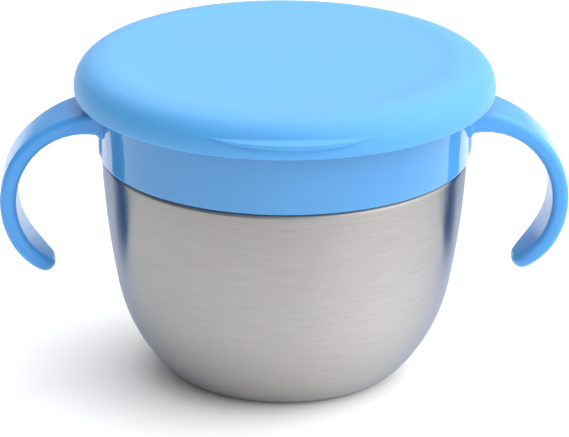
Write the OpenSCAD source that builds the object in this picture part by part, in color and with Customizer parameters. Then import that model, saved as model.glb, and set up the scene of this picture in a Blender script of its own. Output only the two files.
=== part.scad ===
// Snack container for a toddler: a steel bowl, a twist-on collar with two open handles,
// a ring of soft flaps in the collar's mouth and a lid that lifts off.
// Millimetres, Z up. The origin is the centre of the bowl's flat underside, the handles
// lie along X, and the lid's finger tab is at the front, towards -Y.

/* [Steel bowl] */
// Radius of the flat underside
base_r = 26.8; // [24:0.2:29]
// Radius of the curve at the foot
foot_round = 9.8; // [8:0.2:11]
// Slope of the side where the foot meets the belly, from upright
foot_slope = 42.5; // [38:0.5:46]
// Radius of the belly curve
belly_round = 46.4; // [43:0.2:50]
// Slope of the side where the belly meets the long side curve
belly_slope = 11; // [9.5:0.1:12]
// Radius of the long side curve
side_round = 230; // [200:1:260]
// Height where the side curve ends, at the shoulder
side_h = 60.3; // [57:0.1:64]
// Radius of the shoulder's edge
shoulder_round = 1.2; // [1:0.1:1.5]
// Thickness of the steel
steel_t = 0.6; // [0.5:0.1:0.8]
// Radius of the hollow curve from the shoulder up into the neck
neck_round = 0.8; // [0.5:0.1:0.9]
// Height of the neck above the shoulder
neck_h = 17.2; // [15:0.2:20]
// Radius of the rolled rim
rim_round = 0.9; // [0.85:0.05:1.1]

/* [Thread] */
// Rise from one thread start to the next
thread_pitch = 4; // [3.6:0.1:4.6]
// Depth of the rolled ridges on the neck
thread_depth = 1.2; // [1:0.1:1.3]
// Width of a ridge or lug at its root
rib_root = 2; // [1.6:0.1:2.2]
// Width of a ridge or lug at its crest
rib_crest = 1.3; // [0.8:0.1:1.5]
// Height of the first ridge above the shoulder
thread_rise = 4; // [3.5:0.1:5]
// Turn covered by each ridge
ridge_turn = 32; // [24:1:36]
// Turn from one ridge of a start to the next
ridge_step = 48; // [44:1:54]
// Turn covered by each lug
lug_turn = 36; // [24:1:44]
// Gap between the ridges and the collar's wall
thread_gap = 0.8; // [0.6:0.1:1]
// Gap between the lugs and the neck
lug_gap = 0.4; // [0.3:0.1:0.6]

/* [Collar] */
// Distance that the collar stands proud of the steel side
collar_proud = 0.7; // [0.4:0.1:1]
// Thickness of the collar's wall
collar_wall = 2; // [1.8:0.1:2.4]
// Radius of the collar's outer edges
collar_edge = 0.6; // [0.4:0.1:0.8]
// Gap between the collar and the shoulder
shoulder_gap = 0.3; // [0.2:0.1:0.6]
// Thickness of the flange across the mouth
flange_t = 1.9; // [1.6:0.1:2.4]
// Distance from the lip inside the gasket in to the mouth
mouth_step = 2.1; // [1.8:0.1:2.6]
// Height of the ring above the flange that carries the lid
spigot_h = 3.1; // [2.8:0.1:3.6]
// Thickness of the lip inside the gasket
lip_t = 1.5; // [1.2:0.1:1.8]

/* [Handles] */
// Width of a handle from front to back
handle_w = 16.8; // [15:0.2:20]
// Distance that each edge of a handle flares out at its root
handle_flare = 3.6; // [2:0.2:6]
// Extra thickness on top of a handle at its root
root_extra = 3; // [2:0.1:4]
// Length over which the flare and the extra thickness die away
flare_len = 24; // [20:1:32]
// Thickness of a handle
handle_t = 4.5; // [4:0.1:5]
// Radius of a handle's long edges
handle_soft = 1.8; // [1.4:0.1:1.9]
// Height of a handle's root above the collar's lower edge
handle_rise = 10.2; // [9.6:0.1:11]
// Upward slope of a handle where it leaves the collar
handle_slope = 16; // [12:0.1:18]
// Radius of a handle's bend
handle_bend = 22.4; // [20:0.1:24]
// Turn of a handle's bend
handle_turn = 144.5; // [138:0.5:152]
// Radius of the flatter stretch at a handle's tip
tip_bend = 37; // [32:1:44]
// Turn of the flatter stretch at a handle's tip
tip_turn = 15; // [8:0.5:18]
// Length of a handle's rounded tip
tip_round = 14.5; // [12:0.5:18]
// Distance that the gusset under a handle's root stands out of the collar
gusset_out = 0.6; // [0.4:0.05:0.8]
// Turn of the collar that a gusset covers
gusset_turn = 23; // [20:0.5:24]
// Radius of the curve at a gusset's lower end
gusset_round = 4.5; // [4:0.1:5]
// Height above the collar's lower edge where that curve ends
gusset_rise = 3; // [2.9:0.1:3.6]

/* [Gasket] */
// Thickness of the gasket
gasket_t = 2; // [1.6:0.1:2.6]
// Distance that the gasket reaches in past the rolled rim
gasket_over = 0.8; // [0.6:0.1:1]
// Gap beside the gasket in its channel
gasket_play = 0.4; // [0.3:0.05:0.5]
// Gap between the gasket and the rim
rim_gap = 0.2; // [0.15:0.05:0.4]

/* [Flaps] */
// Width of the soft ring from the mouth in to the ends of the slits
soft_edge = 2.4; // [2:0.1:3]
// Thickness of a flap
flap_t = 1.2; // [1:0.1:1.6]
// Width of the slits between the flaps
slit_w = 0.6; // [0.5:0.1:1]
// Distance from the middle to a flap's tip
flap_tip = 2.2; // [1.5:0.1:4]
// Radius of the holes that end the slits
relief_r = 1.3; // [1:0.1:1.4]
// Gap at a flap's root
root_gap = 0.3; // [0.2:0.05:0.4]
// Distance that the soft ring laps onto the flange
ring_lap = 2.5; // [2:0.1:4]
// Thickness of that lap
lap_t = 1.1; // [0.8:0.1:1.4]
// Gap between the soft ring and the mouth
ring_gap = 0.05; // [0.02:0.01:0.1]

/* [Lid] */
// Distance that the lid's rim overhangs the collar
lid_over = 6.65; // [6:0.05:7.5]
// Radius of the fat rim
rim_fat = 7.45; // [7:0.05:8]
// Slope of the rim's outside where it starts to flatten towards its crest
crest_slope = 16; // [14:0.5:20]
// Distance from the middle of the fat rim in to its crest
crest_in = 3; // [2:0.1:4]
// Steepest slope from the crest down into the dish
dish_slope = 6; // [4:0.5:8]
// Distance from the crest in to the flat middle of the dish
dish_in = 8.3; // [6:0.1:12]
// Angle below level at which the rim's wall ends
edge_drop = 8; // [4:0.5:12]
// Thickness of the lid's top
lid_top_t = 2; // [1.6:0.1:2.2]
// Height of the pad under the top that sits on the collar
pad_h = 0.5; // [0.4:0.1:0.8]
// Gap between the collar and the lid's grip ring
grip_gap = 0.3; // [0.2:0.05:0.5]
// Thickness of the grip ring
grip_t = 1.5; // [1.2:0.1:1.8]
// Depth of the grip ring below the top
grip_h = 5; // [4:0.1:5.5]
// Distance that the finger tab stands out of the rim
tab_out = 1.25; // [1:0.05:2]
// Radius of the finger tab's curve, seen from above
tab_sweep = 41; // [40:0.5:44]
// Thickness of the finger tab
tab_t = 2.8; // [2.4:0.1:3.2]
// Height of the tab's middle above the rim's widest place
tab_rise = 2.6; // [2.2:0.1:3]
// Radius of the tab's upper edge
tab_soft = 1.7; // [1.2:0.1:2]

/* [Hidden] */
$fn = 96;
// Overlap where one solid runs into another
eps = 0.01;
// Points on a long curve, on a small round, on a round edge and on a full round
steps = 10;
small_steps = 4;
edge_steps = 8;
full_steps = 18;

// Bowl side: three arcs that meet on shared tangents, from the foot up to the shoulder
foot_c = [base_r, foot_round];
belly_c = foot_c - (belly_round - foot_round) * [cos(foot_slope), -sin(foot_slope)];
side_c = belly_c - (side_round - belly_round) * [cos(belly_slope), -sin(belly_slope)];
top_slope = asin((side_c[1] - side_h) / side_round);
side_r = side_c[0] + side_round * cos(top_slope);
shoulder_c = side_c + (side_round - shoulder_round) * [cos(top_slope), -sin(top_slope)];
shoulder_z = shoulder_c[1] + shoulder_round;

// Collar and neck, worked inwards from the steel side
collar_r = side_r + collar_proud;
bore_r = collar_r - collar_wall;
neck_r = bore_r - thread_gap - thread_depth;
neck_c = [neck_r + neck_round, shoulder_z + neck_round];
rim_z = shoulder_z + neck_h;
rim_c = [neck_r - rim_round, rim_z - rim_round];
collar_z = shoulder_z + shoulder_gap;

// Thread: ridges on the neck and lugs in the collar share starts, pitch and height
starts = 3;
ridges = 3;
thread_lead = thread_pitch * starts;
thread_z = shoulder_z + thread_rise;
lug_along = ridge_step / 2;
rib_sink = 0.3;

// Gasket and the channel that holds it
gasket_z = rim_z + rim_gap;
flange_z = gasket_z + gasket_t;
flange_top = flange_z + flange_t;
gasket_in = neck_r - 2 * rim_round - gasket_over;
gasket_out = bore_r - gasket_play;
lip_r = gasket_in - gasket_play;
mouth_r = lip_r - lip_t - mouth_step;
spigot_z = flange_top + spigot_h;

// Handle: the section is a flat band with round edges, and the centre line is two arcs
corner_n = 4;
section_n = 4 * (corner_n + 1);
root_x = bore_r - collar_wall;
root_z = collar_z + handle_rise - (collar_r - root_x) * tan(handle_slope);
bend_c = [root_x + handle_bend * sin(handle_slope), root_z - handle_bend * cos(handle_slope)];
bend_end = handle_slope - handle_turn;
bend_tip = bend_c + handle_bend * [-sin(bend_end), cos(bend_end)];
tip_c = bend_tip + tip_bend * [sin(bend_end), -cos(bend_end)];
bend_len = PI * handle_bend * handle_turn / 180;
handle_len = bend_len + PI * tip_bend * tip_turn / 180;
bend_n = 22;
tip_n = 9;

// Flaps
flap_z = flange_z + flange_t / 2;
flap_n = 6;
half_flap = 180 / flap_n;
soft_in = mouth_r - soft_edge;
corner_r = soft_in - relief_r;
flap_reach = corner_r * cos(half_flap);
hinge_x = flap_reach - root_gap - flap_t / 2;

// Lid
lid_under = spigot_z + pad_h;
lid_top = lid_under + lid_top_t;
rim_ring_r = collar_r + lid_over - rim_fat;
crest_r = rim_ring_r - crest_in;
dish_r = crest_r - dish_in;
crest_round = crest_in / sin(crest_slope) + rim_fat;
dish_round = dish_in / sin(dish_slope) - crest_round;
crest_z = lid_top + (crest_round + dish_round) * (1 - cos(dish_slope));
crest_c = [crest_r, crest_z - crest_round];
dish_c = [dish_r, lid_top + dish_round];
rim_ring_z = crest_c[1] + (crest_round - rim_fat) * cos(crest_slope);
lid_ring = [rim_ring_r, rim_ring_z];
cave_round = lid_under - rim_ring_z;
lid_t = rim_fat - cave_round;
edge_c = lid_ring + (rim_fat - lid_t / 2) * [cos(edge_drop), -sin(edge_drop)];
grip_in = collar_r + grip_gap;
tab_y = rim_ring_r + rim_fat + tab_out - tab_sweep;
tab_z = rim_ring_z + tab_rise;

// Points on an arc about c from angle a to angle b, without the first one
function arc(c, r, a, b, n = steps) =
    [for (i = [1:n]) c + r * [cos(a + (b - a) * i / n), sin(a + (b - a) * i / n)]];

// One side of the bowl's steel, at a distance in from its outer face
function bowl_side(in) = concat(
    arc(foot_c, foot_round - in, -90, -foot_slope),
    arc(belly_c, belly_round - in, -foot_slope, -belly_slope),
    arc(side_c, side_round - in, -belly_slope, -top_slope),
    arc(shoulder_c, shoulder_round - in, -top_slope, 90, small_steps));

// Turn in degrees after a length s of an arc of radius r
function turned(s, r) = s / r * 180 / PI;

function reversed(list) = [for (i = [len(list) - 1:-1:0]) list[i]];

// One thread rib: a trapezoid spun from radius r_in to r_out and tilted to the thread's rise.
// Its middle is at height z and angle a, counted along the thread from the rib at angle 0.
module rib(r_in, w_in, r_out, w_out, z, a, turn) {
    rise = atan(thread_lead / (2 * PI * (r_in + r_out) / 2));
    translate([0, 0, z]) rotate([0, 0, a]) rotate([rise, 0, 0]) rotate([0, 0, -turn / 2])
        rotate_extrude(angle = turn)
            polygon([[r_in, -w_in / 2], [r_out, -w_out / 2], [r_out, w_out / 2], [r_in, w_in / 2]]);
}

// Deep-drawn bowl with a threaded neck and a rolled rim
module steel_bowl() {
    outer = concat([[0, 0], [base_r, 0]], bowl_side(0), arc(neck_c, neck_round, 270, 180, small_steps));
    bead_end = 360 - acos((rim_round - steel_t) / rim_round);
    bead = concat([[neck_r, rim_c[1]]], arc(rim_c, rim_round, 0, bead_end, full_steps));
    inner = concat(reversed(bowl_side(steel_t)), [[base_r, steel_t], [0, steel_t]]);
    inner_neck = concat([[neck_r - steel_t, neck_c[1]]],
                        arc(neck_c, neck_round + steel_t, 180, 270, small_steps));
    color("silver") union() {
        rotate_extrude() polygon(concat(outer, bead, inner_neck, inner));
        for (i = [0:starts - 1], j = [0:ridges - 1])
            rib(neck_r - rib_sink, rib_root, neck_r + thread_depth, rib_crest,
                thread_z + thread_lead * j * ridge_step / 360, i * 360 / starts + j * ridge_step,
                ridge_turn);
    }
}

// Soft ring that the collar presses onto the rolled rim
module gasket() {
    color("gainsboro") translate([0, 0, gasket_z]) difference() {
        cylinder(h = gasket_t, r = gasket_out);
        translate([0, 0, -eps]) cylinder(h = gasket_t + 2 * eps, r = gasket_in);
    }
}

// Centre line of a handle at a length s from its root: [x, z, slope]
function along(s) = s < bend_len
    ? let (h = handle_slope - turned(s, handle_bend)) [each bend_c + handle_bend * [-sin(h), cos(h)], h]
    : let (h = bend_end - turned(s - bend_len, tip_bend)) [each tip_c + tip_bend * [-sin(h), cos(h)], h];

// Share of the full size left at a distance d before a round end of radius r
function round_end(d, r) = d >= r ? 1 : sqrt(max(0, 1 - pow(1 - d / r, 2)));

// Points round a band's section, each as [place along Y, distance off the centre line].
// Its half width is w, its half thickness t and the radius of its edges r.
function section(w, t, r) = [for (q = [0:3], i = [0:corner_n]) let (a = 90 * (q + i / corner_n))
    [(w - r) * (q < 2 ? 1 : -1) + r * sin(a), (t - r) * (q % 3 == 0 ? 1 : -1) + r * cos(a)]];

// Flat band carried along the centre line. It is wider and thicker on top at its root, and drawn
// in to a round tip.
module handle() {
    straight = handle_len - tip_round;
    stations = concat([for (i = [0:bend_n]) straight * i / bend_n],
                      [for (i = [1:tip_n - 1]) straight + tip_round * sin(90 * i / tip_n)]);
    last = len(stations) - 1;
    rings = [for (s = stations) let (c = along(s), d = handle_len - s, h = c[2],
                                     near = pow(max(0, 1 - s / flare_len), 2),
                                     w = handle_w / 2 * round_end(d, tip_round) + handle_flare * near,
                                     thin = round_end(d, handle_t / 2),
                                     lift = root_extra / 2 * near)
        for (p = section(w, handle_t / 2 * thin + lift, handle_soft * thin)) let (n = p[1] + lift)
            [c[0] - n * sin(h), p[0], c[1] + n * cos(h)]];
    tip = along(handle_len);
    tip_i = len(rings);
    sides = [for (i = [0:last - 1], j = [0:section_n - 1])
        let (a = section_n * i + j, b = section_n * i + (j + 1) % section_n)
            each [[a, b, a + section_n], [b, b + section_n, a + section_n]]];
    cap = [for (j = [0:section_n - 1])
        [section_n * last + j, section_n * last + (j + 1) % section_n, tip_i]];
    root = [for (j = [1:section_n - 2]) [0, j + 1, j]];
    polyhedron(concat(rings, [[tip[0], 0, tip[1]]]), concat(root, sides, cap), convexity = 6);
}

// Shallow gusset that thickens the collar's wall below a handle's root
module gusset() {
    high = collar_z + handle_rise;
    inside = collar_r - rib_sink;
    centre = [collar_r + gusset_out - gusset_round, collar_z + gusset_rise];
    start = -acos((inside - centre[0]) / gusset_round);
    skirt = concat([[inside, high], [inside, centre[1] + gusset_round * sin(start)]],
                   arc(centre, gusset_round, start, 0, small_steps),
                   [[collar_r + gusset_out, high]]);
    rotate([0, 0, -gusset_turn / 2]) rotate_extrude(angle = gusset_turn) polygon(skirt);
}

// Glossy ring with its two handles, the mouth flange, the gasket channel and the lugs
module collar() {
    wall = concat(
        [[bore_r, collar_z], [collar_r - collar_edge, collar_z]],
        arc([collar_r - collar_edge, collar_z + collar_edge], collar_edge, -90, 0, small_steps),
        [[collar_r, spigot_z - collar_edge]],
        arc([collar_r - collar_edge, spigot_z - collar_edge], collar_edge, 0, 90, small_steps),
        [[bore_r, spigot_z], [bore_r, flange_top], [mouth_r, flange_top], [mouth_r, flange_z],
         [lip_r - lip_t, flange_z], [lip_r - lip_t, gasket_z + rim_gap], [lip_r, gasket_z + rim_gap],
         [lip_r, flange_z], [bore_r, flange_z]]);
    color("dodgerblue") union() {
        difference() {
            union() {
                rotate_extrude() polygon(wall);
                handle();
                mirror([1, 0, 0]) handle();
                for (a = [0, 180]) rotate(a) gusset();
            }
            translate([0, 0, collar_z - eps]) cylinder(h = gasket_z - collar_z + eps, r = bore_r);
        }
        for (i = [0:starts - 1])
            rib(neck_r + lug_gap, rib_crest, bore_r + rib_sink, rib_root,
                thread_z + thread_lead * lug_along / 360 - thread_pitch / 2,
                i * 360 / starts + lug_along, lug_turn);
    }
}

// Soft ring moulded onto the mouth's edge, with a straight-sided opening for the flaps
module flap_ring() {
    lap = [[soft_in, flange_z], [mouth_r - ring_gap, flange_z], [mouth_r - ring_gap, flange_top],
           [mouth_r + ring_lap, flange_top], [mouth_r + ring_lap, flange_top + lap_t],
           [soft_in, flange_top + lap_t]];
    color("deepskyblue") union() {
        rotate_extrude() polygon(lap);
        translate([0, 0, flap_z - flap_t / 2]) linear_extrude(flap_t) difference() {
            circle(r = soft_in + eps);
            circle(r = corner_r, $fn = flap_n);
            for (i = [0:flap_n - 1]) rotate(i * 360 / flap_n) translate([corner_r, 0]) circle(r = relief_r);
        }
    }
}

// One petal: a wedge with a round root that lies along its bending line
module flap(number) {
    slope = tan(half_flap);
    inset = slit_w / 2 / cos(half_flap);
    wide_x = hinge_x - relief_r;
    wide = wide_x * slope - inset;
    narrow = flap_tip * slope - inset;
    color("lightskyblue") rotate((number * 2 - 1) * half_flap) translate([0, 0, flap_z]) union() {
        translate([0, 0, -flap_t / 2]) linear_extrude(flap_t)
            polygon([[flap_tip, -narrow], [wide_x, -wide], [hinge_x, -wide], [hinge_x, wide],
                     [wide_x, wide], [flap_tip, narrow]]);
        translate([hinge_x, wide, 0]) rotate([90, 0, 0]) cylinder(h = 2 * wide, r = flap_t / 2);
    }
}

// Soft lid: a fat rounded rim round a dished top, a finger tab in front and a grip ring inside
module lid() {
    outside = concat(
        [[0, rim_ring_z], [0, lid_top], [dish_r, lid_top]],
        arc(dish_c, dish_round, -90, dish_slope - 90, small_steps),
        arc(crest_c, crest_round, dish_slope + 90, 90 - crest_slope, edge_steps),
        arc(lid_ring, rim_fat, 90 - crest_slope, -edge_drop, full_steps),
        arc(edge_c, lid_t / 2, -edge_drop, -edge_drop - 180, edge_steps));
    cave = concat(
        [[0, edge_c[1] - lid_t], [edge_c[0] - lid_t / 2, edge_c[1] - lid_t]],
        [edge_c - lid_t / 2 * [cos(edge_drop), -sin(edge_drop)]],
        arc(lid_ring, cave_round, -edge_drop, 90),
        [[0, lid_under]]);
    tab_in = tab_sweep - lid_t - rim_fat;
    tab = concat([[tab_in, -tab_t / 2], [tab_sweep, -tab_t / 2], [tab_sweep, tab_t / 2 - tab_soft]],
                 arc([tab_sweep - tab_soft, tab_t / 2 - tab_soft], tab_soft, 0, 90, edge_steps),
                 [[tab_in, tab_t / 2]]);
    color("skyblue") union() {
        difference() {
            union() {
                rotate_extrude() polygon(outside);
                translate([0, -tab_y, tab_z]) rotate_extrude() polygon(tab);
            }
            rotate_extrude() polygon(cave);
        }
        rotate_extrude() polygon([[grip_in, lid_under + eps], [grip_in, lid_under - grip_h],
                                  [grip_in + grip_t, lid_under - grip_h],
                                  [grip_in + grip_t, lid_under + eps]]);
        rotate_extrude() polygon([[bore_r, lid_under + eps], [bore_r, spigot_z],
                                  [grip_in + eps, spigot_z], [grip_in + eps, lid_under + eps]]);
    }
}

steel_bowl();
gasket();
collar();
flap_ring();
flap(1);  // flap_1
flap(2);  // flap_2
flap(3);  // flap_3
flap(4);  // flap_4
flap(5);  // flap_5
flap(6);  // flap_6
lid();
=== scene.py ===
import math

import bpy
import numpy as np
from mathutils import Matrix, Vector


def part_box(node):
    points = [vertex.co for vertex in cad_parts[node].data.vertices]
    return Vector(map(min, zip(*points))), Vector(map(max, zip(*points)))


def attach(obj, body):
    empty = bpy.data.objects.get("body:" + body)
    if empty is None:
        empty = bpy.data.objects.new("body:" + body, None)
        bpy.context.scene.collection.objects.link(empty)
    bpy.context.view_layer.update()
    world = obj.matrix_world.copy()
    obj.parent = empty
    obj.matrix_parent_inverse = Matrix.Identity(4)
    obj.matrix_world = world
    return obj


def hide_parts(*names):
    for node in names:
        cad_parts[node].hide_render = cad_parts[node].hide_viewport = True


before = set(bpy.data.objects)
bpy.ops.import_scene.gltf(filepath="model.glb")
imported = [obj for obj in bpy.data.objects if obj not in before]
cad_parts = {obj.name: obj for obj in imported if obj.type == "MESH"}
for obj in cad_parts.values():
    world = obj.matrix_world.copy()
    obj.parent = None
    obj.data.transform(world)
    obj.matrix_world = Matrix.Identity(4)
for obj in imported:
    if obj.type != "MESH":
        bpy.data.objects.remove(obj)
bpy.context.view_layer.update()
mm = 0.001

# Camera
# A long lens a little above the cup, looking slightly down on it and turned by the
# small angle that brings the left handle nearer, as in a catalogue photograph.
IMAGE_W = 569
FOCAL_PX = 3298.4
SENSOR = 36.0
LOOK_DOWN = math.radians(21.08)
CUP_TURN = math.radians(1.95)
CAMERA_ROLL = math.radians(0.33)
CAMERA_FAR = 900 * mm
AIM = (0.12 * mm, 0.0, 41.85 * mm)


def turned_about_z(v, a):
    """A vector turned by the angle a about the upright axis."""
    return np.array([v[0] * math.cos(a) - v[1] * math.sin(a), v[0] * math.sin(a) + v[1] * math.cos(a), v[2]])


back = np.array([0.0, -math.cos(LOOK_DOWN), math.sin(LOOK_DOWN)])
up = np.array([0.0, math.sin(LOOK_DOWN), math.cos(LOOK_DOWN)])
side = np.array([1.0, 0.0, 0.0])
eye = turned_about_z(np.array(AIM) + back * CAMERA_FAR, -CUP_TURN)
cam_x = turned_about_z(math.cos(CAMERA_ROLL) * side + math.sin(CAMERA_ROLL) * up, -CUP_TURN)
cam_y = turned_about_z(math.cos(CAMERA_ROLL) * up - math.sin(CAMERA_ROLL) * side, -CUP_TURN)
cam_z = turned_about_z(back, -CUP_TURN)
lens = bpy.data.cameras.new("camera")
lens.sensor_width = SENSOR
lens.lens = FOCAL_PX / IMAGE_W * SENSOR
lens.clip_start = 0.01
camera = bpy.data.objects.new("camera", lens)
bpy.context.scene.collection.objects.link(camera)
m = np.eye(4)
m[:3, 0], m[:3, 1], m[:3, 2], m[:3, 3] = cam_x, cam_y, cam_z, eye
camera.matrix_world = Matrix(m)
bpy.context.scene.camera = camera

# Steel bowl
# One shell of stainless steel, drawn deep, brushed round and round on a lathe, with a
# rolled rim and short thread ridges on the neck that the collar hides.
STEEL_T = 0.6 * mm
BASE_R = 26.8 * mm
FOOT = (9.8 * mm, 42.5)
BELLY = (46.4 * mm, 11.0)
SIDE_ROUND = 230 * mm
SIDE_TOP = 60.3 * mm
SHOULDER_ROUND = 1.2 * mm
NECK_ROUND = 0.8 * mm
RIM_ROUND = 0.9 * mm
NECK_DEPTH = 3.3 * mm
THREAD_LEAD = 12 * mm
THREAD_STARTS = 3
RIDGES = 3
RIDGE_TURN = 32.0
RIDGE_STEP = 48.0
RIDGE_DEPTH = 1.2 * mm
RIB_HALF = 1.0 * mm
RIB_ENDS = math.radians(2.5)
THREAD_RISE = 4 * mm


def arc(c, r, a, b, n):
    """n points on the circle of radius r about c, from angle a to angle b in degrees, without the first."""
    t = np.radians(a + (b - a) * np.arange(1, n + 1) / n)
    return np.c_[c[0] + r * np.cos(t), c[1] + r * np.sin(t)]


def smooth(mesh, sharp=38):
    """Smooth shading, with creases kept where faces meet at more than the angle sharp."""
    mesh.polygons.foreach_set("use_smooth", np.ones(len(mesh.polygons), bool))
    mesh.set_sharp_from_angle(angle=math.radians(sharp))


def grid_mesh(name, points, wrap, uv=None, cap_start=False, cap_end=False):
    """A surface through an (n, m, 3) grid of points. Rows always close on themselves round m.
    wrap also closes the last row to the first, and a cap closes an end row with one point in its middle."""
    n, m = points.shape[:2]
    verts = points.reshape(-1, 3)
    i = np.arange(n if wrap else n - 1)[:, None]
    j = np.arange(m)[None, :]
    i2, j2 = (i + 1) % n, (j + 1) % m
    quads = np.stack([i * m + j, i * m + j2, i2 * m + j2, i2 * m + j], -1).reshape(-1, 4)
    faces = quads.tolist()
    ends = []
    for row, flip, wanted in ((0, True, cap_start), (n - 1, False, cap_end)):
        if wanted:
            centre = len(verts)
            verts = np.vstack([verts, points[row].mean(0)])
            a = row * m + np.arange(m)
            b = row * m + (np.arange(m) + 1) % m
            fan = np.c_[a, b, np.full(m, centre)] if not flip else np.c_[b, a, np.full(m, centre)]
            faces += fan.tolist()
            ends.append((row, m))
    mesh = bpy.data.meshes.new(name)
    mesh.from_pydata(verts.tolist(), [], faces)
    if uv is not None:
        layer = mesh.uv_layers.new(name="finish")
        u, v = uv
        quad_uv = np.stack([np.stack([(j + 0 * i) * u / m, v[i] + 0.0 * j], -1),
                            np.stack([(j + 1 + 0 * i) * u / m, v[i] + 0.0 * j], -1),
                            np.stack([(j + 1 + 0 * i) * u / m, v[i + 1] + 0.0 * j], -1),
                            np.stack([(j + 0 * i) * u / m, v[i + 1] + 0.0 * j], -1)], 2).reshape(-1, 2)
        fan_uv = [np.c_[np.repeat((np.arange(mm_) + 0.5) * u / mm_, 3), np.full(3 * mm_, v[row])]
                  for row, mm_ in ends]
        layer.data.foreach_set("uv", np.vstack([quad_uv] + fan_uv).ravel().astype(np.float32))
    mesh.validate()
    smooth(mesh)
    obj = bpy.data.objects.new(name, mesh)
    bpy.context.scene.collection.objects.link(obj)
    return obj


def spin(profile, segments):
    """Every point (r, z) of a profile carried round the upright axis: (r cos t, r sin t, z)."""
    t = np.linspace(0, 2 * math.pi, segments, endpoint=False)
    r, z = profile[:, 0][:, None], profile[:, 1][:, None]
    return np.stack([r * np.cos(t), r * np.sin(t), z + 0 * t], -1), t


def lengths(profile):
    """Distance along a profile to each of its points."""
    return np.r_[0, np.cumsum(np.hypot(*np.diff(profile, axis=0).T))]


def down_slope(a):
    """Unit step out of a curve whose side slopes in by a degrees below level."""
    return np.array([math.cos(math.radians(a)), -math.sin(math.radians(a))])


foot_c = np.array([BASE_R, FOOT[0]])
belly_c = foot_c - (BELLY[0] - FOOT[0]) * down_slope(FOOT[1])
side_c = belly_c - (SIDE_ROUND - BELLY[0]) * down_slope(BELLY[1])
top_slope = math.degrees(math.asin((side_c[1] - SIDE_TOP) / SIDE_ROUND))
shoulder_c = side_c + (SIDE_ROUND - SHOULDER_ROUND) * down_slope(top_slope)
shoulder_z = shoulder_c[1] + SHOULDER_ROUND
steel_r = side_c[0] + SIDE_ROUND * math.cos(math.radians(top_slope))
neck_r = steel_r - NECK_DEPTH
neck_c = np.array([neck_r + NECK_ROUND, shoulder_z + NECK_ROUND])
rim_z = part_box("steel_bowl")[1].z
rim_c = np.array([neck_r - RIM_ROUND, rim_z - RIM_ROUND])


def bowl_side(inward):
    """The side from the foot to the shoulder: tangent arcs, each moved in by the same distance."""
    return np.vstack([
        arc(foot_c, FOOT[0] - inward, -90, -FOOT[1], 16),
        arc(belly_c, BELLY[0] - inward, -FOOT[1], -BELLY[1], 30),
        arc(side_c, SIDE_ROUND - inward, -BELLY[1], -top_slope, 36),
        arc(shoulder_c, SHOULDER_ROUND - inward, -top_slope, 90, 12)])


neck_wall = np.c_[np.full(48, neck_r), np.linspace(neck_c[1], rim_c[1], 49)[1:]]
bead_end = 360 - math.degrees(math.acos((RIM_ROUND - STEEL_T) / RIM_ROUND))
bowl_profile = np.vstack([
    [[2 * mm, 0], [BASE_R * 0.5, 0], [BASE_R, 0]],
    bowl_side(0),
    arc(neck_c, NECK_ROUND, 270, 180, 6),
    neck_wall,
    arc(rim_c, RIM_ROUND, 0, bead_end, 18),
    [[neck_r - STEEL_T, neck_c[1]]],
    arc(neck_c, NECK_ROUND + STEEL_T, 180, 270, 6),
    bowl_side(STEEL_T)[::-1],
    [[BASE_R, STEEL_T], [BASE_R * 0.5, STEEL_T], [2 * mm, STEEL_T]]])
bowl_points, bowl_t = spin(bowl_profile, 320)


def rib_height(t, z, along, rise, turn, depth):
    """How far thread ribs stand out of a round wall at angle t and height z: smooth humps on a helix.
    Each start has one rib at every turn in along, and rise is the height of a rib at turn 0."""
    out = 0 * t + 0 * z
    for start in range(THREAD_STARTS):
        for step in along:
            middle = math.radians(start * 360 / THREAD_STARTS + step)
            off = (t - middle + math.pi) % (2 * math.pi) - math.pi
            level = rise + THREAD_LEAD * (step / 360 + off / (2 * math.pi))
            across = np.clip(1 - ((z - level) / RIB_HALF) ** 2, 0, 1)
            ends = np.clip((math.radians(turn / 2) - np.abs(off)) / RIB_ENDS, 0, 1)
            out = np.maximum(out, depth * across ** 0.6 * ends)
    return out


thread_z = shoulder_z + THREAD_RISE
on_neck = (np.abs(bowl_profile[:, 0] - neck_r) < 1e-7) & (bowl_profile[:, 1] < rim_c[1])
lift = on_neck[:, None] * rib_height(bowl_t[None, :], bowl_profile[:, 1][:, None],
                                     [k * RIDGE_STEP for k in range(RIDGES)], thread_z, RIDGE_TURN, RIDGE_DEPTH)
bowl_points[..., 0] += lift * np.cos(bowl_t)
bowl_points[..., 1] += lift * np.sin(bowl_t)
bowl = grid_mesh("bowl", bowl_points, False, (2 * math.pi * steel_r, lengths(bowl_profile)), True, True)


def nodes_of(name):
    """A new material with its node tree, its Principled shader and a function that adds a node."""
    material = bpy.data.materials.new(name)
    material.use_nodes = True
    tree = material.node_tree
    shader = tree.nodes["Principled BSDF"]

    def add(kind, **values):
        node = tree.nodes.new(kind)
        for key, value in values.items():
            if key in node.inputs:
                node.inputs[key].default_value = value
            else:
                setattr(node, key, value)
        return node

    return material, tree, shader, add


steel, tree, shader, add = nodes_of("brushed_steel")
uv_map = add("ShaderNodeUVMap", uv_map="finish")
lines = add("ShaderNodeMapping")
lines.inputs["Scale"].default_value = (9, 3600, 1)
tree.links.new(uv_map.outputs["UV"], lines.inputs["Vector"])
grain = add("ShaderNodeTexNoise", Scale=1.0, Detail=2.0, Roughness=0.5)
tree.links.new(lines.outputs["Vector"], grain.inputs["Vector"])
broad = add("ShaderNodeMapping")
broad.inputs["Scale"].default_value = (75, 1300, 1)
tree.links.new(uv_map.outputs["UV"], broad.inputs["Vector"])
bands = add("ShaderNodeTexNoise", Scale=1.0, Detail=3.0)
tree.links.new(broad.outputs["Vector"], bands.inputs["Vector"])
tint = add("ShaderNodeMix", data_type="RGBA")
tint.inputs[6].default_value = (0.322, 0.311, 0.302, 1)
tint.inputs[7].default_value = (0.415, 0.402, 0.390, 1)
tree.links.new(bands.outputs["Fac"], tint.inputs[0])
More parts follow.
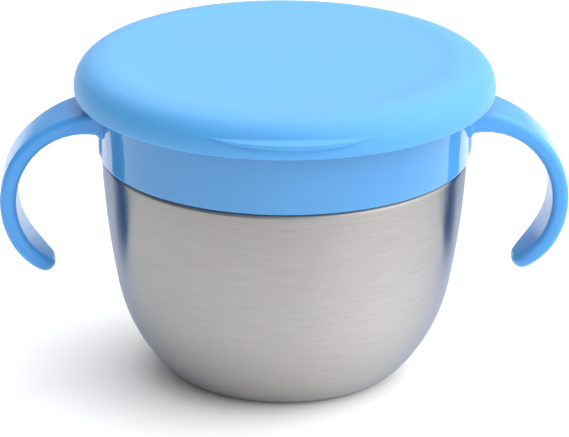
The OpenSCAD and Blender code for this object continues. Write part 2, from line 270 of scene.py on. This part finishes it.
# Painted reflection and shade: the steel's colour is scaled brighter towards the foot, standing in for the bright
# floor reflected there, and darker up towards the shoulder
where = add("ShaderNodeTexCoord")
height = add("ShaderNodeSeparateXYZ")
tree.links.new(where.outputs["Object"], height.inputs["Vector"])
painted_light_ramp = add("ShaderNodeMapRange")
painted_light_ramp.inputs["From Min"].default_value = 8 * mm
painted_light_ramp.inputs["From Max"].default_value = shoulder_z
painted_light_ramp.inputs["To Min"].default_value = 1.30
painted_light_ramp.inputs["To Max"].default_value = 0.86
tree.links.new(height.outputs["Z"], painted_light_ramp.inputs["Value"])
painted_light_scaled = add("ShaderNodeVectorMath", operation="SCALE")
tree.links.new(tint.outputs[2], painted_light_scaled.inputs[0])
tree.links.new(painted_light_ramp.outputs["Result"], painted_light_scaled.inputs["Scale"])
tree.links.new(painted_light_scaled.outputs["Vector"], shader.inputs["Base Color"])
rough = add("ShaderNodeMapRange")
rough.inputs["To Min"].default_value = 0.28
rough.inputs["To Max"].default_value = 0.32
tree.links.new(bands.outputs["Fac"], rough.inputs["Value"])
tree.links.new(rough.outputs["Result"], shader.inputs["Roughness"])
bump = add("ShaderNodeBump", Strength=0.12, Distance=0.00002)
tree.links.new(grain.outputs["Fac"], bump.inputs["Height"])
tree.links.new(bump.outputs["Normal"], shader.inputs["Normal"])
along_u = add("ShaderNodeTangent", direction_type="UV_MAP", uv_map="finish")
tree.links.new(along_u.outputs["Tangent"], shader.inputs["Tangent"])
shader.inputs["Metallic"].default_value = 1.0
shader.inputs["Specular Tint"].default_value = (0.52, 0.59, 0.76, 1)
shader.inputs["Anisotropic"].default_value = 1.0
shader.inputs["Anisotropic Rotation"].default_value = 0.25
bowl.data.materials.append(steel)
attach(bowl, "bowl")
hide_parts("steel_bowl")

# Collar with its two handles
# One glossy moulding in blue polypropylene: a ring that screws onto the bowl's neck, with
# a flat band on each side that bends down and round into an open handle.
SHOULDER_GAP = 0.3 * mm
COLLAR_WALL = 2 * mm
COLLAR_EDGE = 0.6 * mm
COLLAR_FLANGE = 1.9 * mm
COLLAR_SPIGOT = 3.1 * mm
MOUTH_STEP = 2.1 * mm
LIP_T = 1.5 * mm
LIP_IN = 3.0 * mm
LUG_TURN = 36.0
LUG_GAP = 0.4 * mm
HANDLE_W = 16.8 * mm
HANDLE_FLARE = 3.6 * mm
ROOT_EXTRA = 3.0 * mm
FLARE_LEN = 24 * mm
HANDLE_T = 4.5 * mm
HANDLE_SOFT = 1.8 * mm
HANDLE_RISE = 10.2 * mm
HANDLE_SLOPE = 16.0
HANDLE_BEND = 22.4 * mm
HANDLE_TURN = 144.5
TIP_BEND = 37 * mm
TIP_TURN = 15.0
TIP_ROUND = 14.5 * mm
ROOT_FILLET = 0.8 * mm
ROOT_BLEND = 9 * mm
GUSSET_OUT = 0.6 * mm
GUSSET_HALF = math.radians(11.5)
GUSSET_SIDE = math.radians(1.5)
GUSSET_ROUND = 4.5 * mm
GUSSET_RISE = 3 * mm

collar_z = shoulder_z + SHOULDER_GAP
collar_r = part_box("collar")[1].y
bore_r = collar_r - COLLAR_WALL
flange_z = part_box("gasket")[1].z
flange_top = flange_z + COLLAR_FLANGE
spigot_z = flange_top + COLLAR_SPIGOT
lip_r = neck_r - LIP_IN
mouth_r = lip_r - LIP_T - MOUTH_STEP
lip_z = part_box("gasket")[0].z + 0.2 * mm
edge_r = collar_r - COLLAR_EDGE
collar_profile = np.vstack([
    [[bore_r, collar_z], [edge_r, collar_z]],
    arc((edge_r, collar_z + COLLAR_EDGE), COLLAR_EDGE, -90, 0, 10),
    np.c_[np.full(64, collar_r), np.linspace(collar_z + COLLAR_EDGE, spigot_z - COLLAR_EDGE, 65)[1:]],
    arc((edge_r, spigot_z - COLLAR_EDGE), COLLAR_EDGE, 0, 90, 6),
    [[bore_r, spigot_z], [bore_r, flange_top], [mouth_r, flange_top], [mouth_r, flange_z],
     [lip_r - LIP_T, flange_z], [lip_r - LIP_T, lip_z], [lip_r, lip_z], [lip_r, flange_z]],
    np.c_[np.full(60, bore_r), np.linspace(flange_z, collar_z, 61)[:-1]]])
ring_points, ring_t = spin(collar_profile, 360)
lug_along = RIDGE_STEP / 2
in_bore = (np.abs(collar_profile[:, 0] - bore_r) < 1e-7) & (collar_profile[:, 1] < flange_z - 1e-7)
lug = in_bore[:, None] * rib_height(ring_t[None, :], collar_profile[:, 1][:, None], [lug_along],
                                    thread_z - THREAD_LEAD / THREAD_STARTS / 2, LUG_TURN,
                                    bore_r - neck_r - LUG_GAP)
outer = collar_profile[:, 0] > collar_r - COLLAR_EDGE * 0.99
outer &= collar_profile[:, 1] < collar_z + HANDLE_RISE + 2 * mm
below = np.clip((collar_z + GUSSET_RISE - collar_profile[:, 1]) / GUSSET_ROUND, 0, 1)
swell = outer * np.clip(GUSSET_OUT - GUSSET_ROUND * (1 - np.sqrt(1 - below ** 2)), 0, None)
across = np.abs((ring_t + math.pi / 2) % math.pi - math.pi / 2)
side_share = np.clip((GUSSET_HALF - across) / GUSSET_SIDE, 0, 1)
lug -= swell[:, None] * (side_share ** 2 * (3 - 2 * side_share))[None, :]
ring_points[..., 0] -= lug * np.cos(ring_t)
ring_points[..., 1] -= lug * np.sin(ring_t)
ring = grid_mesh("collar_ring", ring_points, True)

root_x = bore_r - COLLAR_WALL
root_z = collar_z + HANDLE_RISE - (collar_r - root_x) * math.tan(math.radians(HANDLE_SLOPE))


def off_arc(h):
    """Step from an arc's centre to a point whose heading is h degrees, on a curve that turns clockwise."""
    return np.stack([-np.sin(np.radians(h)), np.cos(np.radians(h))], -1)


bend_c = np.array([root_x, root_z]) - HANDLE_BEND * off_arc(HANDLE_SLOPE)
bend_end = HANDLE_SLOPE - HANDLE_TURN
tip_c = bend_c + (HANDLE_BEND - TIP_BEND) * off_arc(bend_end)
bend_len = HANDLE_BEND * math.radians(HANDLE_TURN)
handle_len = bend_len + TIP_BEND * math.radians(TIP_TURN)


def centre_line(s):
    """Place and heading at a length s along the handle: one arc, then a flatter one."""
    h1 = HANDLE_SLOPE - np.degrees(s / HANDLE_BEND)
    h2 = bend_end - np.degrees((s - bend_len) / TIP_BEND)
    h = np.where(s < bend_len, h1, h2)
    place = np.where((s < bend_len)[..., None], bend_c + HANDLE_BEND * off_arc(h1), tip_c + TIP_BEND * off_arc(h2))
    return place, h


def round_end(d, r):
    """Share of the full size at a distance d before a round end of radius r: a quarter ellipse."""
    return np.sqrt(np.clip(1 - np.clip(1 - d / r, 0, 1) ** 2, 0, 1))


def handle(name, facing):
    """Flat band with round edges, carried along the centre line and drawn in to a round tip.
    By a parabola towards the root it grows wider, and thicker on top. Its first ring lies inside the
    collar's wall, bent to the wall's round, and a quarter-circle fillet swells it where it leaves."""
    wall = (bore_r + collar_r) / 2
    start = (wall - root_x) / math.cos(math.radians(HANDLE_SLOPE))
    body = start + (handle_len - TIP_ROUND - start) * np.linspace(0, 1, 90) ** 1.25
    s = np.r_[body, handle_len - TIP_ROUND * (1 - np.sin(np.linspace(0, math.pi / 2, 40)[1:-1]))]
    d = (handle_len - s)[:, None]
    thin = round_end(d, HANDLE_T / 2)
    grown = np.clip(1 - s[:, None] / FLARE_LEN, 0, 1) ** 2
    half_w = HANDLE_W / 2 * round_end(d, TIP_ROUND) + HANDLE_FLARE * grown
    raised = ROOT_EXTRA / 2 * grown
    half_t, soft = HANDLE_T / 2 * thin + raised, HANDLE_SOFT * thin
    a = np.radians(90 * np.add.outer(np.arange(4), np.linspace(0, 1, 13)).ravel())
    right = np.repeat([1, 1, -1, -1], 13)
    top = np.repeat([1, -1, -1, 1], 13)
    y = (half_w - soft) * right + soft * np.sin(a)
    n = (half_t - soft) * top + soft * np.cos(a) + raised
    pull = (wall - np.sqrt(wall ** 2 - y ** 2)) / math.cos(math.radians(HANDLE_SLOPE))
    along = s[:, None] - pull * np.clip(1 - (s[:, None] - start) / ROOT_BLEND, 0, 1)
    place, h = centre_line(along)
    out = np.hypot(place[..., 0], y) - collar_r - GUSSET_OUT
    near = np.clip(1 - out / ROOT_FILLET, 0, 1)
    fillet = ROOT_FILLET * (1 - np.sqrt(1 - near ** 2))
    y += fillet * np.sin(a)
    n += fillet * np.cos(a)
    h = np.radians(h)
    points = np.stack([facing * (place[..., 0] - n * np.sin(h)), y, place[..., 1] + n * np.cos(h)], -1)
    points = points[:, ::-1] if facing > 0 else points
    return grid_mesh(name, points, False, None, True, True)


right_handle = handle("right_handle", 1)
left_handle = handle("left_handle", -1)


def blue_plastic(name, dark, light, roughness, mirror):
    """Moulded blue polypropylene: a colour between dark and light, a faint ripple, and a surface that is
    glossy or satin by its roughness and by how much it mirrors."""
    material, tree, shader, add = nodes_of(name)
    where = add("ShaderNodeTexCoord")
    cloud = add("ShaderNodeTexNoise", Scale=45.0, Detail=2.0)
    tree.links.new(where.outputs["Object"], cloud.inputs["Vector"])
    tint = add("ShaderNodeMix", data_type="RGBA")
    tint.inputs[6].default_value = dark
    tint.inputs[7].default_value = light
    tree.links.new(cloud.outputs["Fac"], tint.inputs[0])
    tree.links.new(tint.outputs[2], shader.inputs["Base Color"])
    ripple = add("ShaderNodeTexNoise", Scale=220.0, Detail=1.0)
    tree.links.new(where.outputs["Object"], ripple.inputs["Vector"])
    bump = add("ShaderNodeBump", Strength=0.03, Distance=0.0001)
    tree.links.new(ripple.outputs["Fac"], bump.inputs["Height"])
    tree.links.new(bump.outputs["Normal"], shader.inputs["Normal"])
    shader.inputs["Roughness"].default_value = roughness
    shader.inputs["Specular IOR Level"].default_value = mirror
    return material


# Painted light: ring and handles are one plastic, yet the handles' blue is set lighter than the ring's
gloss_blue = blue_plastic("gloss_blue_plastic", (0.057, 0.257, 0.555, 1), (0.064, 0.270, 0.578, 1), 0.06, 0.5)
satin_lit_blue = blue_plastic("satin_lit_blue_plastic", (0.058, 0.290, 0.680, 1), (0.064, 0.304, 0.710, 1), 0.26, 0.4)
for piece, finish in ((ring, gloss_blue), (right_handle, satin_lit_blue), (left_handle, satin_lit_blue)):
    piece.data.materials.append(finish)
    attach(piece, "collar")
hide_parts("collar")

# Lid
# One soft-touch moulding: a fat rounded rim round a gently dished top, with a finger tab
# that stands out of the rim in front. A grip ring inside holds it on the collar.
LID_OVER = 6.65 * mm
RIM_FAT = 7.45 * mm
CREST_SLOPE = 16.0
CREST_IN = 3 * mm
DISH_SLOPE = 6.0
DISH_IN = 8.3 * mm
EDGE_DROP = 8.0
LID_TOP_T = 2 * mm
PAD_H = 0.5 * mm
GRIP_GAP = 0.3 * mm
GRIP_T = 1.5 * mm
GRIP_H = 5 * mm
TAB_OUT = 1.25 * mm
TAB_SWEEP = 41 * mm
TAB_HALF = 1.4 * mm
TAB_RISE = 2.6 * mm
TAB_LIFT = 0.3 * mm
TAB_ENDS = math.radians(23.5)
TAB_SLANT = math.radians(22)
TAB_SLANT_SOFT = 0.15 * mm
TAB_CORNER = 0.08
TAB_FILLET = 0.25 * mm
TAB_PLUMP = 0.82
TAB_THIN = 0.006

lid_under = spigot_z + PAD_H
lid_top = lid_under + LID_TOP_T
rim_ring_r = collar_r + LID_OVER - RIM_FAT
crest_r = rim_ring_r - CREST_IN
dish_r = crest_r - DISH_IN
steep, gentle = math.radians(CREST_SLOPE), math.radians(DISH_SLOPE)
crest_round = CREST_IN / math.sin(steep) + RIM_FAT
dish_round = DISH_IN / math.sin(gentle) - crest_round
crest_z = lid_top + (crest_round + dish_round) * (1 - math.cos(gentle))
rim_ring = np.array([rim_ring_r, crest_z - crest_round + (crest_round - RIM_FAT) * math.cos(steep)])
cave_round = lid_under - rim_ring[1]
lid_wall = RIM_FAT - cave_round
edge_c = rim_ring + (RIM_FAT - lid_wall / 2) * down_slope(EDGE_DROP)
grip_in = collar_r + GRIP_GAP

lid_inside = np.vstack([
    [[2 * mm, lid_under], [bore_r, lid_under], [bore_r, spigot_z], [grip_in, spigot_z],
     [grip_in, lid_under - GRIP_H], [grip_in + GRIP_T, lid_under - GRIP_H], [grip_in + GRIP_T, lid_under]],
    arc(rim_ring, cave_round, 62, -EDGE_DROP, 16),
    arc(edge_c, lid_wall / 2, -EDGE_DROP - 180, -EDGE_DROP, 12)])
rim_angle = np.radians(np.r_[np.linspace(-EDGE_DROP, 2, 8)[1:], np.linspace(2, 36, 110)[1:],
                             np.linspace(36, 90 - CREST_SLOPE, 20)[1:]])
lid_above = np.vstack([
    arc((crest_r, crest_z - crest_round), crest_round, 90 - CREST_SLOPE, 90 + DISH_SLOPE, 14),
    arc((dish_r, lid_top + dish_round), dish_round, DISH_SLOPE - 90, -90, 14),
    np.c_[np.linspace(dish_r, 2 * mm, 12)[1:], np.full(11, lid_top)]])
# Columns lie closer together across the front, where the tab is
lid_t = np.radians(np.r_[np.arange(-116, -64, 0.5), np.arange(-64, 244, 1.75)])


def soft_join(a, b, k):
    """Smaller of two distances, rounded where they are within k of each other."""
    h = np.clip(0.5 + 0.5 * (b - a) / k, 0, 1)
    return b + (a - b) * h - k * h * (1 - h)


def rim_with_tab(angle, t):
    """Outside of the rim as a distance from the middle of its fat round, for an angle up from level and
    a place t round the lid. It is where the joined distance to the round and to the tab's plate is zero.
    The plate is the part of a round disc that stands out of the rim, thinner towards its two ends."""
    c, s_ = np.cos(angle)[:, None], np.sin(angle)[:, None]
    front = rim_ring_r + RIM_FAT + TAB_OUT
    shift = front - TAB_SWEEP
    facing = -np.sin(t)[None, :]
    edge = shift * facing + np.sqrt(TAB_SWEEP ** 2 - shift ** 2 * (1 - facing ** 2))
    turn = np.arccos(facing) / TAB_ENDS
    half = TAB_HALF * np.sqrt(np.clip(1 - (turn / TAB_PLUMP) ** 2, TAB_THIN, 1))
    low, high = np.full((len(angle), len(t)), 0.9 * RIM_FAT), np.full((len(angle), len(t)), 1.6 * RIM_FAT)
    for _ in range(34):
        middle = (low + high) / 2
        r, lift = rim_ring_r + middle * c, middle * s_ - TAB_RISE - TAB_LIFT * turn ** 2
        corner = half * TAB_CORNER
        dx, dz = r - edge + corner, np.abs(lift) - half + corner
        plate = np.hypot(np.maximum(dx, 0), np.maximum(dz, 0)) + np.minimum(np.maximum(dx, dz), 0) - corner
        slant = (r - edge) * math.sin(TAB_SLANT) + lift * math.cos(TAB_SLANT)
        plate = -soft_join(-plate, -slant, TAB_SLANT_SOFT)
        plate = np.where(turn < 1, plate, TAB_FILLET)
        gap = soft_join(middle - RIM_FAT, plate, np.where(lift > 0, TAB_FILLET, 0.15 * mm))
        low, high = np.where(gap < 0, middle, low), np.where(gap < 0, high, middle)
    return (low + high) / 2


def around(profile, t):
    """Every point (r, z) of a profile at every place t round the upright axis."""
    r, z = profile[:, 0][:, None], profile[:, 1][:, None]
    return np.stack([r * np.cos(t), r * np.sin(t), z + 0 * t], -1)


fat = rim_with_tab(rim_angle, lid_t)
rim_r = rim_ring[0] + fat * np.cos(rim_angle)[:, None]
rim_points = np.stack([rim_r * np.cos(lid_t), rim_r * np.sin(lid_t),
                       rim_ring[1] + fat * np.sin(rim_angle)[:, None]], -1)
lid_points = np.concatenate([around(lid_inside, lid_t), rim_points, around(lid_above, lid_t)])
lid = grid_mesh("lid_shell", lid_points, False, None, True, True)

soft_blue, tree, shader, add = nodes_of("soft_touch_blue")
where = add("ShaderNodeTexCoord")
cloud = add("ShaderNodeTexNoise", Scale=30.0, Detail=3.0)
tree.links.new(where.outputs["Object"], cloud.inputs["Vector"])
tint = add("ShaderNodeMix", data_type="RGBA")
tint.inputs[6].default_value = (0.058, 0.292, 0.63, 1)
tint.inputs[7].default_value = (0.063, 0.306, 0.65, 1)
tree.links.new(cloud.outputs["Fac"], tint.inputs[0])
tree.links.new(tint.outputs[2], shader.inputs["Base Color"])
pores = add("ShaderNodeTexNoise", Scale=2600.0, Detail=2.0)
tree.links.new(where.outputs["Object"], pores.inputs["Vector"])
bump = add("ShaderNodeBump", Strength=0.12, Distance=0.00005)
tree.links.new(pores.outputs["Fac"], bump.inputs["Height"])
tree.links.new(bump.outputs["Normal"], shader.inputs["Normal"])
shader.inputs["Roughness"].default_value = 0.55
shader.inputs["Sheen Weight"].default_value = 0.15
shader.inputs["Sheen Roughness"].default_value = 0.4
lid.data.materials.append(soft_blue)
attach(lid, "lid")
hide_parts("lid")

# Gasket
# A pale silicone ring, punched flat, that the collar presses down on the rolled rim.
seal, tree, shader, add = nodes_of("pale_silicone")
where = add("ShaderNodeTexCoord")
cloud = add("ShaderNodeTexNoise", Scale=120.0, Detail=2.0)
tree.links.new(where.outputs["Object"], cloud.inputs["Vector"])
tint = add("ShaderNodeMix", data_type="RGBA")
tint.inputs[6].default_value = (0.74, 0.74, 0.73, 1)
tint.inputs[7].default_value = (0.82, 0.82, 0.81, 1)
tree.links.new(cloud.outputs["Fac"], tint.inputs[0])
tree.links.new(tint.outputs[2], shader.inputs["Base Color"])
shader.inputs["Roughness"].default_value = 0.5
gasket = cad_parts["gasket"]
gasket.data.materials.clear()
gasket.data.materials.append(seal)

# Flaps
# One soft elastomer moulding bonded into the collar's mouth: a ring with six petals, cut
# apart by straight slits with round ends, that bend down at their roots.
flap_blue, tree, shader, add = nodes_of("soft_flap_blue")
where = add("ShaderNodeTexCoord")
cloud = add("ShaderNodeTexNoise", Scale=60.0, Detail=2.0)
tree.links.new(where.outputs["Object"], cloud.inputs["Vector"])
tint = add("ShaderNodeMix", data_type="RGBA")
tint.inputs[6].default_value = (0.19, 0.52, 0.90, 1)
tint.inputs[7].default_value = (0.22, 0.55, 0.93, 1)
tree.links.new(cloud.outputs["Fac"], tint.inputs[0])
tree.links.new(tint.outputs[2], shader.inputs["Base Color"])
pores = add("ShaderNodeTexNoise", Scale=1800.0, Detail=2.0)
tree.links.new(where.outputs["Object"], pores.inputs["Vector"])
bump = add("ShaderNodeBump", Strength=0.10, Distance=0.00005)
tree.links.new(pores.outputs["Fac"], bump.inputs["Height"])
tree.links.new(bump.outputs["Normal"], shader.inputs["Normal"])
shader.inputs["Roughness"].default_value = 0.45
for name in ["flap_ring"] + [f"flap_{k}" for k in range(1, 7)]:
    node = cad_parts[name]
    node.data.materials.clear()
    node.data.materials.append(flap_blue)

# Floor and light
# A plain white sweep, a pale room all round, and a large soft light high on the right.
FLOOR = 6.0
floor_mesh = bpy.data.meshes.new("floor")
floor_mesh.from_pydata([(-FLOOR, -FLOOR, 0), (FLOOR, -FLOOR, 0), (FLOOR, FLOOR, 0), (-FLOOR, FLOOR, 0)], [], [(0, 1, 2, 3)])
floor = bpy.data.objects.new("floor", floor_mesh)
bpy.context.scene.collection.objects.link(floor)
white, tree, shader, add = nodes_of("white_floor")
shader.inputs["Base Color"].default_value = (0.95, 0.95, 0.95, 1)
shader.inputs["Roughness"].default_value = 0.9
shader.inputs["Specular IOR Level"].default_value = 0.1
floor.data.materials.append(white)

# The room: even light from all round, with broad soft glows where its white walls are lit
ROOM_BASE = 0.08
ROOM_GLOWS = (("right", -12, 26, 3, 2.8), ("front_right", -62, 45, 3, 0.9), ("back", 80, 60, 4, 2.7))

world = bpy.data.worlds.new("room")
world.use_nodes = True
tree = world.node_tree
toward = tree.nodes.new("ShaderNodeTexCoord")
total = None
for name, azimuth, elevation, tightness, strength in ROOM_GLOWS:
    a, e = math.radians(azimuth), math.radians(elevation)
    facing = tree.nodes.new("ShaderNodeVectorMath")
    facing.operation = "DOT_PRODUCT"
    facing.inputs[1].default_value = (math.cos(e) * math.cos(a), math.cos(e) * math.sin(a), math.sin(e))
    tree.links.new(toward.outputs["Generated"], facing.inputs[0])
    lit = tree.nodes.new("ShaderNodeMath")
    lit.operation = "MAXIMUM"
    lit.inputs[1].default_value = 0
    tree.links.new(facing.outputs["Value"], lit.inputs[0])
    glow = tree.nodes.new("ShaderNodeMath")
    glow.operation = "POWER"
    glow.inputs[1].default_value = tightness
    tree.links.new(lit.outputs[0], glow.inputs[0])
    add_up = tree.nodes.new("ShaderNodeMath")
    add_up.operation = "MULTIPLY_ADD"
    add_up.name = name
    add_up.inputs[1].default_value = strength
    add_up.inputs[2].default_value = ROOM_BASE
    tree.links.new(glow.outputs[0], add_up.inputs[0])
    if total is not None:
        tree.links.new(total, add_up.inputs[2])
    total = add_up.outputs[0]
# Seen straight, past the object, the room is a plain white backdrop
seen = tree.nodes.new("ShaderNodeLightPath")
backdrop = tree.nodes.new("ShaderNodeMath")
backdrop.operation = "MAXIMUM"
tree.links.new(seen.outputs["Is Camera Ray"], backdrop.inputs[0])
tree.links.new(total, backdrop.inputs[1])
tree.nodes["Background"].inputs["Color"].default_value = (1, 1, 1, 1)
tree.links.new(backdrop.outputs[0], tree.nodes["Background"].inputs["Strength"])
bpy.context.scene.world = world
bpy.context.scene.view_settings.view_transform = "Standard"


def soft_light(name, place, aim, size, power):
    """A square soft light at place, facing aim."""
    lamp = bpy.data.lights.new(name, "AREA")
    lamp.size = size
    lamp.energy = power
    obj = bpy.data.objects.new(name, lamp)
    bpy.context.scene.collection.objects.link(obj)
    z = np.array(place) - np.array(aim)
    z = z / np.linalg.norm(z)
    x = np.cross((0, 0, 1), z)
    x = x / np.linalg.norm(x)
    y = np.cross(z, x)
    m = np.eye(4)
    m[:3, 0], m[:3, 1], m[:3, 2], m[:3, 3] = x, y, z, place
    obj.matrix_world = Matrix(m)


soft_light("overhead", (0.2, 0.2, 1.2), (0, 0, 0.05), 1.8, 3)
